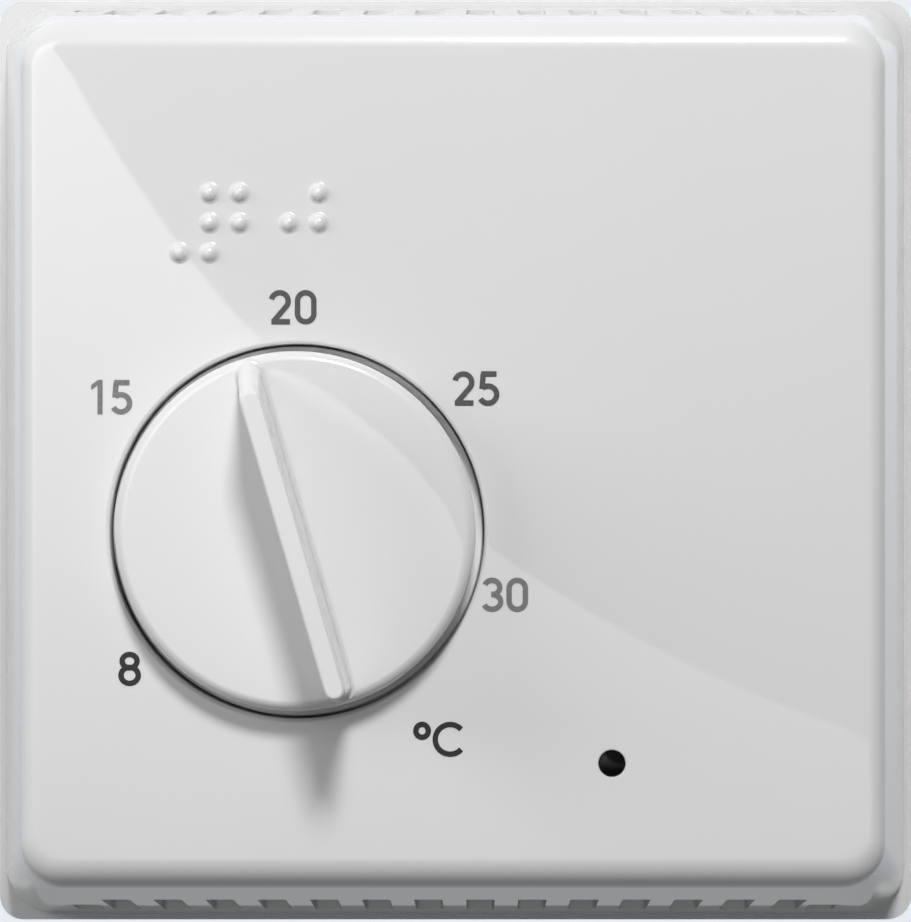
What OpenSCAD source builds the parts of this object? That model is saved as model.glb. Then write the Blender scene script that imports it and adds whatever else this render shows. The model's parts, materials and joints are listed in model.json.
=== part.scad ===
// Wall thermostat for a room, with a turning dial, a gas capsule and a snap switch.
// Every module is drawn lying on its back: x to the right, y up, z out of the wall.
// stand() then sets it upright, so the finished part has +Z up and its front towards -Y.

/* [Case] */
// Width of the base plate
base_w = 83.8; // [82:0.2:110]
// Height of the base plate
base_h = 84.4; // [82:0.2:110]
// Thickness of the base plate
base_t = 2.5; // [2:0.1:3]
// Corner radius of the base plate
base_corner_r = 2.2; // [1:0.1:4]
// Distance from the wall to the flat face of the cover
case_depth = 28; // [27:0.5:36]
// Width of base plate that shows around the back edge of the cover
rim_w = 0.7; // [0.4:0.1:1.2]
// Inset of the flat face from the back edge, left and right
side_inset = 6.5; // [4:0.1:8]
// Inset of the flat face from the back edge, top and bottom
top_inset = 7.7; // [4:0.1:9]
// Radius of the front edge of the cover
front_edge_r = 2; // [1:0.1:3]
// Corner radius of the flat face
face_corner_r = 2.4; // [1:0.1:4]
// Wall thickness of the cover
cover_wall = 2; // [1.5:0.1:2.5]
// Height of the rib on the base plate that the cover fits over
spigot_h = 2.5; // [1.5:0.1:3]

/* [Vents] */
// Number of long slots in each row
vent_count = 14; // [6:2:14]
// Distance between vent slots
vent_pitch = 4.58; // [4:0.01:5]
// Width of a vent slot
vent_w = 2.5; // [1.5:0.1:3]
// Distance from the wall to the near end of the slots
vent_z = 6; // [5.6:0.1:8]
// Length of a long slot, along the depth
vent_len = 9; // [6:0.5:12]
// Length of the short slot at each end of a row
vent_end_len = 4; // [2:0.5:6]
// Distance of the short slots from the middle
vent_end_x = 33; // [32.5:0.1:35]

/* [Dial] */
// Dial axis, to the right of the middle
dial_x = -13; // [-15:0.5:-11]
// Dial axis, above the middle
dial_y = -6.5; // [-8:0.5:-5]
// Diameter of the dial at its face
dial_d = 29.8; // [25:0.1:31]
// Extra diameter at the foot of the dial skirt
dial_flare = 0.6; // [0:0.1:1]
// Gap around the dial skirt
dial_gap = 0.45; // [0.3:0.05:0.8]
// Height of the dial face above the cover
dial_rise = 3; // [2:0.1:5]
// Wall thickness of the dial
dial_wall = 1.6; // [1.2:0.1:2]
// Hollow of the dial face at its middle
dial_dish = 0.06; // [0.02:0.02:0.4]
// Radius of the edge of the dial face
dial_edge_r = 0.9; // [0.4:0.1:1.5]
// Distance from the ends of the grip to the edge of the dial face
grip_end_gap = 0.6; // [0.4:0.1:4]
// Slope of the pointing end of the grip, as the inset of its top
grip_point_inset = 2.7; // [0.5:0.1:6]
// Inset of the top at the other end of the grip
grip_tail_inset = 0.6; // [0.2:0.1:6]
// Height of the grip above the dial face
grip_h = 8; // [4:0.5:10]
// Width of the grip at its foot
grip_foot_w = 1.8; // [1.4:0.1:4]
// Width of the grip at its top
grip_top_w = 1.3; // [1:0.1:3]
// Setting at rest, turned to the left from straight up, in degrees
grip_turn = 16.2; // [0:0.1:40]
// Diameter of the dial spindle
spindle_d = 6; // [5:0.5:7]

/* [Capsule] */
// Diameter of the gas capsule
capsule_d = 26; // [20:0.5:27]
// Thickness of the gas capsule
capsule_t = 3.6; // [3.2:0.1:4]
// Diameter of the screw end of the spindle
screw_d = 4; // [3:0.1:4.4]

/* [Switch] */
// Length of the snap switch
switch_l = 20; // [19:0.5:22]
// Height of the snap switch, along the depth
switch_h = 10; // [9.5:0.5:11]
// Thickness of the snap switch
switch_t = 6.4; // [6:0.1:8]
// Diameter of the switch button
button_d = 2.4; // [2:0.1:3]
// Distance from the dial axis to the lever pin
lever_arm = 11.5; // [11:0.5:13]

/* [Wiring] */
// Distance between the two wall screws
wall_screw_pitch = 60; // [56:0.5:62]
// Diameter of the holes for the wall screws
wall_hole_d = 4.2; // [3.6:0.1:5]
// Height of the wall screws above the middle
wall_screw_y = 8; // [7:0.5:10]
// Width of the cable entry
entry_w = 18; // [12:0.5:18]
// Height of the cable entry
entry_h = 12; // [8:0.5:12]
// Distance between terminals
terminal_pitch = 8; // [7.5:0.1:8]
// Diameter of the indicator window
window_d = 2.25; // [2:0.05:5]
// Indicator window, to the right of the middle
window_x = 13.3; // [12:0.1:16]
// Indicator window, above the middle
window_y = -25.9; // [-28:0.1:-24]

/* [Hidden] */
$fn = 64;
eps = 0.01;
touch = 0.3;          // gap between pieces that pass each other
run = 0.05;           // radial clearance of a running fit
small_gap = 0.1;      // end float of a turning piece

// cover
back_x = base_w / 2 - rim_w;
back_y = base_h / 2 - rim_w;
face_x = back_x - side_inset;
face_y = back_y - top_inset;
back_corner_r = face_corner_r + front_edge_r;
edge_z = case_depth - front_edge_r;
inner_z = case_depth - cover_wall;
side_lean = atan((side_inset - front_edge_r) / (edge_z - base_t));
top_lean = atan((top_inset - front_edge_r) / (edge_z - base_t));
edge_steps = 8;
corner_steps = 8;
spigot_inset = cover_wall + 0.9;
spigot_t = 1.2;
spigot_z = base_t + spigot_h;
catch_z = spigot_z + small_gap;
catch_t = 0.9;
clip_x = 20;
clip_w = 6;
clip_t = 0.8;
clip_inner_y = back_y - spigot_inset - spigot_t - clip_t - touch;
catch_nose_y = clip_inner_y + clip_t + 1.1;

// wall side of the base plate; each hole to keep clear of is [x, y, half width, half height]
back_rim = 3;
pocket_rib = 1.8;
pocket_rows = 5;
pocket_t = 0.5;
entry_x = 13;
entry_y = 10;
back_holes = [[0, 0, 1, 1], [entry_x, entry_y, entry_w / 2 + 1, entry_h / 2 + 1],
              [-wall_screw_pitch / 2, wall_screw_y, wall_hole_d / 2 + 1, wall_hole_d / 2 + 1],
              [wall_screw_pitch / 2, wall_screw_y, wall_hole_d / 2 + 1, wall_hole_d / 2 + 1]];

// raised dots beside the scale
dot_pitch = 2.5;
dot_d = 1.5;
dot_h = 0.5;
dot_at = [-20.3, 21.7];
dots = [[0, 0], [1, 0], [0, -1], [1, -1], [-1, -2], [0, -2], [2.65, -1], [3.65, 0], [3.65, -1]];

// heights in the middle of the case, from the wall outwards
lever_z = 4;
lever_t = 1.2;
lever_w = 6;
calibration_z = lever_z + lever_t + 0.6;
plunger_z = calibration_z + touch;
plunger_travel = 0.6;
capsule_z = plunger_z + 2.3;
capsule_top = capsule_z + capsule_t;
key_t = 0.8;
tube_r = 0.8;
tube_at = capsule_d / 2 - 2.6 - tube_r;
key_disc_r = tube_at - tube_r - 1.3;
stud_h = 3.2;
collar_z = capsule_top + stud_h + 0.6;
collar_t = 1;
flange_z = collar_z + collar_t + small_gap;
flange_t = 1;
bridge_z = flange_z + flange_t;
bridge_t = 1.2;
nut_t = 2.2;
bush_top = bridge_z + bridge_t + nut_t + 0.7;
clip_z = bush_top + small_gap;
clip_ring_t = 0.6;
hub_z = clip_z + clip_ring_t + 0.2;

// dial
dial_r = dial_d / 2;
dial_foot_r = dial_r + dial_flare / 2;
dial_hole_r = dial_foot_r + dial_gap;
dial_z = case_depth + dial_rise;
dial_foot_z = case_depth - 3.1;
well_t = 1.2;
well_z = dial_foot_z - 1.1 - well_t;
well_inner_r = 9.5;
well_wall = 1.4;
under_face_z = dial_z - dial_dish - dial_wall;
hub_r = 5;
lug_reach = 3.3;
lug_half_angle = 4;
pin_r = 1;
pin_ring_r = dial_foot_r - dial_wall - pin_r - 0.4;
stop_left = 113;
stop_right = -125;
// angles of the lug under the dial and of the stop pins, from the right, anticlockwise
lug_angle = -90;
pin_half_angle = asin(pin_r / pin_ring_r);
pin_left = lug_angle + stop_left + lug_half_angle + pin_half_angle + 1;
pin_right = lug_angle + stop_right - lug_half_angle - pin_half_angle - 1;

// bridge
bridge_w = 12;
leg_x = 17.5;
foot_l = 6;
foot_z = base_t + 2;
key_half = 2;
bush_r = 4.5;

// lever and snap switch
pivot_y = dial_y + lever_arm;
pivot_z = lever_z + 2.2;
pivot_pin_r = 0.8;
ear_x = 2.3;
ear_t = 0.7;
tip_arm = 12;
tip_y = pivot_y + tip_arm;
pip_z = lever_z + lever_t + 1.7;
button_r = button_d / 2;
button_z = pip_z + touch;
switch_z = button_z + 1.3;
switch_y = tip_y - 8;
switch_x0 = dial_x - switch_t / 2;
switch_wall = 1;
lid_t = 1;
blade_z = switch_z + 2.7;
blade_t = 0.3;
blade_arm = 6;
blade_y = tip_y + blade_arm;
blade_l = 10.5;
blade_w = 3;
blade_pin_r = 0.4;
contact_r = 0.8;
contact_h = 0.3;
button_travel = plunger_travel * tip_arm / lever_arm;
contact_gap = button_travel / blade_arm * blade_l;
strip_t = 0.4;
strip_w = 3.2;
screw_rows = [switch_y + 3.3, switch_y + switch_l - 2.6];
switch_screw_z = switch_z + switch_h - 2.9;
switch_screw_r = 1.1;
tab_z = switch_z + switch_h + 3.5;
tab_x = dial_x - strip_w / 2 - 0.2;
blade_mid_z = blade_z + blade_t / 2;
blade_tip_y = blade_y - blade_l;
tab_rows = [switch_y + 1.2, blade_tip_y + 2.4, blade_y + 1.3];
bracket_t = 1;
bracket_foot = 6;
bracket_l = 14;
bracket_x0 = switch_x0 - bracket_t - bracket_foot;
bracket_y0 = switch_y + 3;
bracket_screw_at = [[bracket_x0 + bracket_foot / 2 - 0.2, bracket_y0 + 3.5],
                    [bracket_x0 + bracket_foot / 2 - 0.2, bracket_y0 + 10.5]];

// terminals
block_x0 = -3;
block_y0 = 20;
block_w = 4 * terminal_pitch;
block_h = 13;
block_z = 13;
cage_w = 5.6;
cage_h = 7;
cage_t = 6;
cage_z = base_t + 1.5;
wire_r = 1.5;
bar_z = switch_z + switch_h + 0.4;
bar_w = 2.6;
block_screw_at = [[block_x0 + terminal_pitch, block_y0 + 10.8],
                  [block_x0 + 3 * terminal_pitch, block_y0 + 10.8]];

// lamp board
board_x0 = 2;
board_y0 = -36;
board_w = 32;
board_h = 20;
board_z = base_t + 3.5;
board_t = 1.2;
board_hole_r = 1.25;
board_inset = 2.2;
wire_lead_r = 0.3;
board_posts = [for (sx = [0, 1], sy = [0, 1])
    [board_x0 + board_inset + sx * (board_w - 2 * board_inset),
     board_y0 + board_inset + sy * (board_h - 2 * board_inset)]];
resistor_at = [[25, board_y0 + 6.5], [25, board_y0 + 12.5]];
rail_x = board_x0 + board_w + 1.4;
rail_y = board_y0 + board_h / 2 + 1;
rail_z = block_z + 0.3;

module stand() rotate([90, 0, 0]) children();

// one rounded rectangle as a ring of points at height z
function ring(x, y, r, z) = [
    for (q = [0 : 3], s = [0 : corner_steps])
        let (a = 90 * (q + s / corner_steps),
             sx = (q == 0 || q == 3) ? 1 : -1,
             sy = q < 2 ? 1 : -1)
        [sx * (x - r) + r * cos(a), sy * (y - r) + r * sin(a), z]];

// closed solid through a list of rings, lowest first
module loft(rings) {
    n = len(rings[0]);
    last = len(rings) - 1;
    polyhedron(
        points = [for (g = rings) each g],
        faces = concat(
            [[for (i = [0 : n - 1]) i]],
            [[for (i = [n - 1 : -1 : 0]) last * n + i]],
            [for (k = [0 : last - 1], i = [0 : n - 1])
                [k * n + i, (k + 1) * n + i, (k + 1) * n + (i + 1) % n]],
            [for (k = [0 : last - 1], i = [0 : n - 1])
                [k * n + i, (k + 1) * n + (i + 1) % n, k * n + (i + 1) % n]]),
        convexity = 4);
}

module block(low, size) translate(low) cube(size);

// upright flat box with rounded corners
module plate(x, y, r, t) {
    linear_extrude(t) union() {
        square([2 * x - 2 * r, 2 * y], center = true);
        square([2 * x, 2 * y - 2 * r], center = true);
        for (sx = [-1, 1], sy = [-1, 1]) translate([sx * (x - r), sy * (y - r)]) circle(r);
    }
}

module at_dial(z = 0) translate([dial_x, dial_y, z]) children();

module tube(r_out, r_in, h) {
    difference() {
        cylinder(r = r_out, h = h);
        translate([0, 0, -eps]) cylinder(r = r_in, h = h + 2 * eps);
    }
}

// rod along x, centred on the origin
module rod_x(r, l) rotate([0, 90, 0]) translate([0, 0, -l / 2]) cylinder(r = r, h = l);

// screw with a round head and a driving slot, head resting at z = 0
module screw(thread_r, length, head_r, head_h) {
    difference() {
        union() {
            translate([0, 0, -length]) cylinder(r = thread_r, h = length);
            cylinder(r = head_r, h = head_h);
        }
        translate([-head_r, -0.3, head_h - 0.6]) cube([2 * head_r, 0.6, 1]);
    }
}

module base_plate() {
    color("whitesmoke") stand() {
        difference() {
            union() {
                plate(base_w / 2, base_h / 2, base_corner_r, base_t);
                spigot();
                for (s = [-1, 1]) translate([s * wall_screw_pitch / 2, wall_screw_y, base_t - eps])
                    cylinder(r = 4.6, h = 0.8);
                for (s = [-1, 1]) translate([dial_x + s * (leg_x + foot_l / 2), dial_y, base_t - eps])
                    cylinder(r = 2.8, h = foot_z - base_t + eps);
                for (s = [-1, 1]) block([dial_x + s * (ear_x + ear_t + touch + 0.9) - 0.9, pivot_y - 2,
                    base_t - eps], [1.8, 4, pivot_z + 1.5 - base_t]);
                for (p = board_posts) translate([p[0], p[1], base_t - eps])
                    cylinder(r = 2, h = board_z - base_t + eps);
                for (s = [-1, 1]) block([s * clip_x - clip_w / 2, clip_inner_y, base_t - eps],
                    [clip_w, clip_t + small_gap, catch_z + catch_t + small_gap + 1.2 - base_t]);
                for (s = [-1, 1]) block([s * clip_x - clip_w / 2, clip_inner_y,
                    catch_z + catch_t + small_gap], [clip_w, catch_nose_y - clip_inner_y, 1.2]);
                translate([entry_x - entry_w / 2 - 1.2, entry_y - entry_h / 2 - 1.2, base_t - eps])
                    cube([entry_w + 2.4, entry_h + 2.4, 1.2]);
                block([bracket_x0 + 0.2, bracket_y0 + 0.5, base_t - eps], [bracket_foot - 0.4, 13, 1]);
            }
            for (s = [-1, 1]) translate([s * wall_screw_pitch / 2, wall_screw_y, -1])
                cylinder(d = wall_hole_d, h = base_t + 4);
            for (s = [-1, 1]) translate([dial_x + s * (leg_x + foot_l / 2), dial_y, 0.8])
                cylinder(r = 1.3, h = foot_z);
            for (p = board_posts) translate([p[0], p[1], 0.8]) cylinder(r = 0.9, h = board_z);
            for (p = block_screw_at) translate([p[0], p[1], 0.8]) cylinder(r = 1, h = base_t);
            for (p = bracket_screw_at) translate([p[0], p[1], 0.8]) cylinder(r = 1, h = base_t + 2);
            translate([entry_x - entry_w / 2, entry_y - entry_h / 2, -1]) cube([entry_w, entry_h, 8]);
            back_pockets();
            translate([dial_x, pivot_y, pivot_z]) rod_x(pivot_pin_r, 2 * (ear_x + ear_t + touch + 3));
            for (s = [-1, 1]) block([s * clip_x - clip_w / 2, -clip_inner_y - clip_t, 1],
                [clip_w, clip_t, base_t]);
        }
    }
}

// shallow pockets between ribs on the wall side, left out around the holes and in the middle
module back_pockets() {
    pitch_x = (base_w - 2 * back_rim + pocket_rib) / pocket_rows;
    pitch_y = (base_h - 2 * back_rim + pocket_rib) / pocket_rows;
    half = [pitch_x - pocket_rib, pitch_y - pocket_rib] / 2;
    for (i = [0 : pocket_rows - 1], j = [0 : pocket_rows - 1]) {
        at = [(i - (pocket_rows - 1) / 2) * pitch_x, (j - (pocket_rows - 1) / 2) * pitch_y];
        clear = [for (h = back_holes) if (abs(at[0] - h[0]) < half[0] + h[2] && abs(at[1] - h[1]) < half[1] + h[3]) 1];
        if (len(clear) == 0) translate([at[0], at[1], -1]) plate(half[0], half[1], 1, 1 + pocket_t);
    }
}

// rib that locates the cover
module spigot() {
    translate([0, 0, base_t - eps]) difference() {
        plate(back_x - spigot_inset, back_y - spigot_inset, back_corner_r - 2, spigot_h);
        translate([0, 0, -1]) plate(back_x - spigot_inset - spigot_t, back_y - spigot_inset - spigot_t,
            back_corner_r - 2 - spigot_t / 2, spigot_h + 2);
    }
}

// outer form of the cover: leaning walls and a rounded front edge
module cover_form() {
    loft(concat(
        [ring(back_x, back_y, back_corner_r, base_t)],
        [for (i = [0 : edge_steps])
            let (t = i / edge_steps,
                 ax = side_lean + (90 - side_lean) * t,
                 ay = top_lean + (90 - top_lean) * t)
            ring(face_x + front_edge_r * cos(ax), face_y + front_edge_r * cos(ay),
                 face_corner_r + front_edge_r * cos(ax), edge_z + front_edge_r * sin((ax + ay) / 2))]));
}

module cover_hollow() {
    loft([ring(back_x - cover_wall, back_y - cover_wall, back_corner_r - 1, base_t - 1),
          ring(back_x - cover_wall, back_y - cover_wall, back_corner_r - 1, base_t + eps),
          ring(face_x + front_edge_r - cover_wall, face_y + front_edge_r - cover_wall,
               face_corner_r, inner_z)]);
}

// slots through the top and bottom walls
module vent_slots() {
    for (i = [0 : vent_count - 1])
        vent_slot((i - (vent_count - 1) / 2) * vent_pitch, vent_len);
    for (s = [-1, 1]) vent_slot(s * vent_end_x, vent_end_len);
}

module vent_slot(x, length) {
    block([x - vent_w / 2, -base_h, vent_z], [vent_w, 2 * base_h, length]);
}

module front_cover() {
    color("whitesmoke") stand() {
        difference() {
            union() {
                difference() {
                    cover_form();
                    cover_hollow();
                }
                at_dial(well_z) tube(dial_hole_r + well_wall, dial_hole_r - eps, inner_z - well_z + eps);
                at_dial(well_z) tube(dial_hole_r + well_wall, well_inner_r, well_t);
                for (sx = [-1, 1], sy = [-1, 1]) cover_catch(sx, sy);
                for (p = dots) translate([dot_at[0] + p[0] * dot_pitch, dot_at[1] + p[1] * dot_pitch,
                    case_depth]) raised_dot();
            }
            at_dial(well_z + well_t) cylinder(r = dial_hole_r, h = case_depth);
            at_dial(well_z - 1) for (a = [pin_right, pin_left])
                rotate(a) translate([pin_ring_r, 0, 0]) cylinder(r = pin_r, h = 3);
            translate([window_x, window_y, inner_z - 1]) cylinder(d = window_d, h = 5);
            vent_slots();
        }
    }
}

// ledge inside the cover that a hook takes hold of
module cover_catch(sx, sy) {
    y0 = catch_nose_y - 0.8;
    y1 = back_y - cover_wall / 2;
    block([sx * clip_x - clip_w / 2 - 1, sy > 0 ? y0 : -y1, catch_z], [clip_w + 2, y1 - y0, catch_t]);
}

module raised_dot() {
    dot_ball = (dot_d * dot_d / 4 + dot_h * dot_h) / (2 * dot_h);
    intersection() {
        translate([0, 0, dot_h - dot_ball]) sphere(dot_ball);
        translate([0, 0, -0.2]) cylinder(d = dot_d, h = dot_h + 1);
    }
}

module cover_clips() {
    color("silver") stand()
        for (s = [-1, 1]) translate([s * clip_x - clip_w / 2, 0, 0]) {
            block([0, -clip_inner_y - clip_t, 1], [clip_w, clip_t, catch_z + catch_t + small_gap + 1]);
            block([0, -catch_nose_y, catch_z + catch_t + small_gap],
                [clip_w, catch_nose_y - clip_inner_y, clip_t]);
        }
}

module indicator_lens() {
    color([0.05, 0.05, 0.05]) stand() translate([window_x, window_y, 0]) {
        translate([0, 0, inner_z - eps]) cylinder(d = window_d, h = cover_wall - 0.05 + eps);
        translate([0, 0, inner_z - 1]) cylinder(r = window_d / 2 + 0.9, h = 1);
    }
}

module dial() {
    color("whitesmoke") stand() at_dial() {
        difference() {
            union() {
                rotate_extrude() dial_profile();
                translate([0, 0, hub_z]) cylinder(r = hub_r, h = under_face_z - hub_z + 0.5);
                dial_lug();
                dial_grip();
            }
            translate([0, 0, hub_z - 1]) spindle_section(spindle_d / 2 + 0.02, under_face_z - 0.8 - hub_z + 1);
        }
    }
}

// half section of the dial shell, skirt foot to hollowed face
module dial_profile() {
    in_r = dial_foot_r - dial_wall;
    polygon(concat(
        [[dial_foot_r, dial_foot_z]],
        [for (i = [0 : 6]) let (a = 15 * i)
            [dial_r - dial_edge_r + dial_edge_r * cos(a), dial_z - dial_edge_r + dial_edge_r * sin(a)]],
        [for (i = [0 : 8]) let (t = 1 - i / 8)
            [(dial_r - dial_edge_r - 0.3) * t, dial_z - dial_dish * (1 - t * t)]],
        [[0, under_face_z], [in_r - 0.8, under_face_z], [in_r, under_face_z - 0.8], [in_r, dial_foot_z]]));
}

// lug inside the skirt that meets the stop pins
module dial_lug() {
    in_r = dial_foot_r - dial_wall + 0.4;
    intersection() {
        translate([0, 0, dial_foot_z + 0.2])
            tube(in_r, in_r - lug_reach, under_face_z - dial_foot_z);
        rotate(lug_angle) linear_extrude(dial_z) polygon([[0, 0],
            [20, -20 * tan(lug_half_angle)], [20, 20 * tan(lug_half_angle)]]);
    }
}

// upright grip across the face; its top ends further in at the pointing end
module dial_grip() {
    foot_y = dial_r - grip_end_gap - grip_foot_w / 2;
    foot_z0 = dial_z - dial_dish - 0.4;
    crown = grip_top_w / 2 - 0.1;
    tops = [grip_tail_inset - dial_r + grip_end_gap + grip_top_w / 2,
            dial_r - grip_end_gap - grip_point_inset - grip_top_w / 2];
    rotate(grip_turn) hull() {
        for (s = [-1, 1]) translate([0, s * foot_y, foot_z0]) cylinder(d = grip_foot_w, h = 0.5, $fn = 32);
        for (y = tops) {
            translate([0, y, dial_z + grip_h - crown - 0.6]) cylinder(d = grip_top_w, h = 0.4, $fn = 32);
            translate([0, y, dial_z + grip_h - crown]) sphere(r = crown, $fn = 24);
        }
    }
}

// spindle section with one flat
module spindle_section(r, h) {
    intersection() {
        cylinder(r = r, h = h);
        translate([-r, -r, -1]) cube([2 * r, 1.6 * r, h + 2]);
    }
}

module spindle() {
    color("goldenrod") stand() at_dial() {
        difference() {
            union() {
                translate([0, 0, capsule_top + 0.4]) cylinder(d = screw_d, h = collar_z - capsule_top);
                translate([0, 0, collar_z]) cylinder(r = spindle_d / 2 + 1.4, h = collar_t);
                translate([0, 0, collar_z]) cylinder(d = spindle_d, h = hub_z - collar_z);
                translate([0, 0, hub_z - 0.2]) spindle_section(spindle_d / 2, under_face_z - 1 - hub_z + 0.2);
            }
            translate([0, 0, clip_z]) tube(spindle_d, spindle_d / 2 - 0.6, clip_ring_t);
        }
    }
}

// open ring that holds the spindle in its bush
module spindle_clip() {
    color("dimgray") stand() at_dial(clip_z + 0.02) {
        difference() {
            cylinder(r = bush_r + 0.1, h = clip_ring_t - 0.04);
            translate([0, 0, -1]) cylinder(r = spindle_d / 2 - 0.6, h = 3);
            translate([-1.8, 0, -1]) cube([3.6, 9, 3]);
        }
    }
}

module limit_pins() {
    color("firebrick") stand() at_dial(well_z) for (a = [pin_right, pin_left])
        rotate(a) translate([pin_ring_r, 0, 0]) cylinder(r = pin_r, h = 4.4);
}

// bent frame that carries the spindle over the capsule
module bridge() {
    color("lightsteelblue") stand() at_dial() {
        difference() {
            union() {
                block([-leg_x, -bridge_w / 2, bridge_z], [2 * leg_x, bridge_w, bridge_t]);
                for (s = [-1, 1]) {
                    block([s * leg_x - (s > 0 ? bridge_t : 0), -bridge_w / 2, foot_z],
                        [bridge_t, bridge_w, bridge_z + bridge_t - foot_z]);
                    block([s > 0 ? leg_x - bridge_t : -leg_x - foot_l, -bridge_w / 2, foot_z],
                        [foot_l + bridge_t, bridge_w, bridge_t]);
                }
            }
            translate([0, 0, bridge_z - 1]) cylinder(r = bush_r, h = bridge_t + 2);
            for (s = [-1, 1]) translate([s * (leg_x + foot_l / 2), 0, foot_z - 1]) cylinder(r = 1.6, h = 4);
            block([-leg_x - 1, -key_half - touch, capsule_top - 0.8],
                [bridge_t + 2, 2 * key_half + 2 * touch, key_t + 1.6]);
        }
    }
}

module bridge_screws() {
    color("silver") stand() for (s = [-1, 1])
        translate([dial_x + s * (leg_x + foot_l / 2), dial_y, foot_z + bridge_t]) screw(1.3, 4.6, 2.5, 1.6);
}

module spindle_bush() {
    color("gold") stand() at_dial() difference() {
        union() {
            translate([0, 0, flange_z]) cylinder(r = bush_r + 1.5, h = flange_t);
            translate([0, 0, flange_z]) cylinder(r = bush_r, h = bush_top - flange_z);
        }
        translate([0, 0, flange_z - 1]) cylinder(r = spindle_d / 2 + run, h = bush_top);
    }
}

module bush_nut() {
    color("gold") stand() at_dial(bridge_z + bridge_t) difference() {
        cylinder(r = bush_r + 2, h = nut_t, $fn = 6);
        translate([0, 0, -1]) cylinder(r = bush_r, h = nut_t + 2);
    }
}

// rolled and corrugated front half of the gas capsule
module capsule_front() {
    r = capsule_d / 2;
    skin = 0.5;
    color("gainsboro") stand() at_dial(capsule_z) rotate_extrude() difference() {
        polygon([[0, capsule_t - skin], [0, capsule_t], [r - 2.6, capsule_t], [r - 1.4, 1], [r, 1],
                 [r, 0.4], [r - 2, 0.4], [r - 3.2, capsule_t - skin]]);
        for (g = [7, 8.4, 9.8]) if (g < r - 3) translate([g, capsule_t + 0.1]) circle(0.3);
    }
}

// thin back half, open around the plunger so that the plunger can move
module capsule_back() {
    r = capsule_d / 2;
    color("silver") stand() at_dial(capsule_z) rotate_extrude() union() {
        translate([2 + touch, 0]) square([r - 2 - touch, 0.4]);
        for (g = [5, 7, 9]) if (g < r - 3) translate([g, 0.35]) circle(0.35);
    }
}

module capsule_stud() {
    color("goldenrod") stand() at_dial(capsule_top) difference() {
        cylinder(r = 4, h = stud_h);
        translate([0, 0, -1]) cylinder(r = screw_d / 2 + run, h = stud_h + 2);
    }
}

// plate that slides in the bridge leg and stops the capsule from turning
module key_plate() {
    color("lightsteelblue") stand() at_dial(capsule_top) difference() {
        union() {
            cylinder(r = key_disc_r, h = key_t);
            block([-leg_x - 1, -key_half, 0], [leg_x, 2 * key_half, key_t]);
        }
        translate([0, 0, -1]) cylinder(r = 4, h = key_t + 2);
    }
}

module filling_tube() {
    color("peru") stand() at_dial(capsule_top) translate([0, -tube_at, 0]) {
        cylinder(r = tube_r, h = 3);
        block([-1.1, -0.3, 2.4], [2.2, 0.6, 1.6]);
    }
}

module capsule_plunger() {
    color("gainsboro") stand() at_dial() {
        translate([0, 0, plunger_z]) cylinder(r = 2, h = capsule_z + 1.2 - plunger_z);
        translate([0, 0, capsule_z + 1.1]) cylinder(r = 3.6, h = 0.6);
    }
}

// lever under the capsule, with two ears for its pin and a raised tip
module switch_lever() {
    y0 = dial_y - 4;
    color("lightsteelblue") stand() translate([dial_x, 0, 0]) difference() {
        union() {
            block([-lever_w / 2, y0, lever_z], [lever_w, tip_y + 2 - y0, lever_t]);
            for (s = [-1, 1]) block([s > 0 ? ear_x : -ear_x - ear_t, pivot_y - 1.6, lever_z],
                [ear_t, 3.2, pivot_z + 1.2 - lever_z]);
            translate([0, tip_y, lever_z]) cylinder(r = 1.3, h = pip_z - lever_z);
        }
        block([-ear_x + 0.1, pivot_y - 2.2, lever_z - 1], [2 * ear_x - 0.2, 4.4, lever_t + 2]);
        translate([0, pivot_y, pivot_z]) rod_x(pivot_pin_r + run, 3 * ear_x);
        translate([0, dial_y, lever_z - 1]) cylinder(r = 1, h = lever_t + 2);
    }
}

module calibration_screw() {
    color("silver") stand() at_dial() {
        translate([0, 0, lever_z - 0.3]) cylinder(r = 1, h = calibration_z - lever_z + 0.3);
        translate([0, 0, lever_z + lever_t]) cylinder(r = 1.7, h = calibration_z - lever_z - lever_t);
    }
}

module lever_pin() {
    color("silver") stand() translate([dial_x, pivot_y, pivot_z])
        rod_x(pivot_pin_r, 2 * (ear_x + ear_t + touch + 1.8) - 0.4);
}

// wound spring around the lever pin, with a leg each way
module lever_spring() {
    wire = 0.25;
    coil = pivot_pin_r + 0.15 + wire;
    turns = 6;
    color("dimgray") stand() translate([dial_x, pivot_y, pivot_z]) {
        rotate([0, 90, 0]) rotate_extrude() for (i = [0 : turns - 1])
            translate([coil, (i - (turns - 1) / 2) * wire * 1.8]) circle(wire);
        translate([-1, 0, coil]) rotate([90 + 16, 0, 0]) cylinder(r = wire, h = 6);
        translate([1, coil, 0.2]) rotate([180, 0, 0]) cylinder(r = wire, h = pivot_z - base_t - 0.3);
    }
}

// angle plate that holds the snap switch above the lever tip
module switch_bracket() {
    foot_top = base_t + 1;
    color("lightsteelblue") stand() difference() {
        union() {
            block([bracket_x0, bracket_y0, foot_top], [bracket_foot + bracket_t, bracket_l, bracket_t]);
            block([bracket_x0 + bracket_foot, bracket_y0, foot_top], [bracket_t, bracket_l, 7]);
            block([bracket_x0 + bracket_foot, switch_y, foot_top + 6],
                [bracket_t, switch_l, switch_z + switch_h - foot_top - 6]);
        }
        for (p = bracket_screw_at) translate([p[0], p[1], foot_top - 1]) cylinder(r = 1.3, h = 4);
        for (y = screw_rows) translate([bracket_x0 + bracket_foot, y, switch_screw_z])
            rod_x(switch_screw_r - 0.1, 6);
    }
}

module bracket_screws() {
    color("silver") stand() for (p = bracket_screw_at)
        translate([p[0], p[1], base_t + 1 + bracket_t]) screw(1, 3.4, 1.9, 1.2);
}

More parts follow.
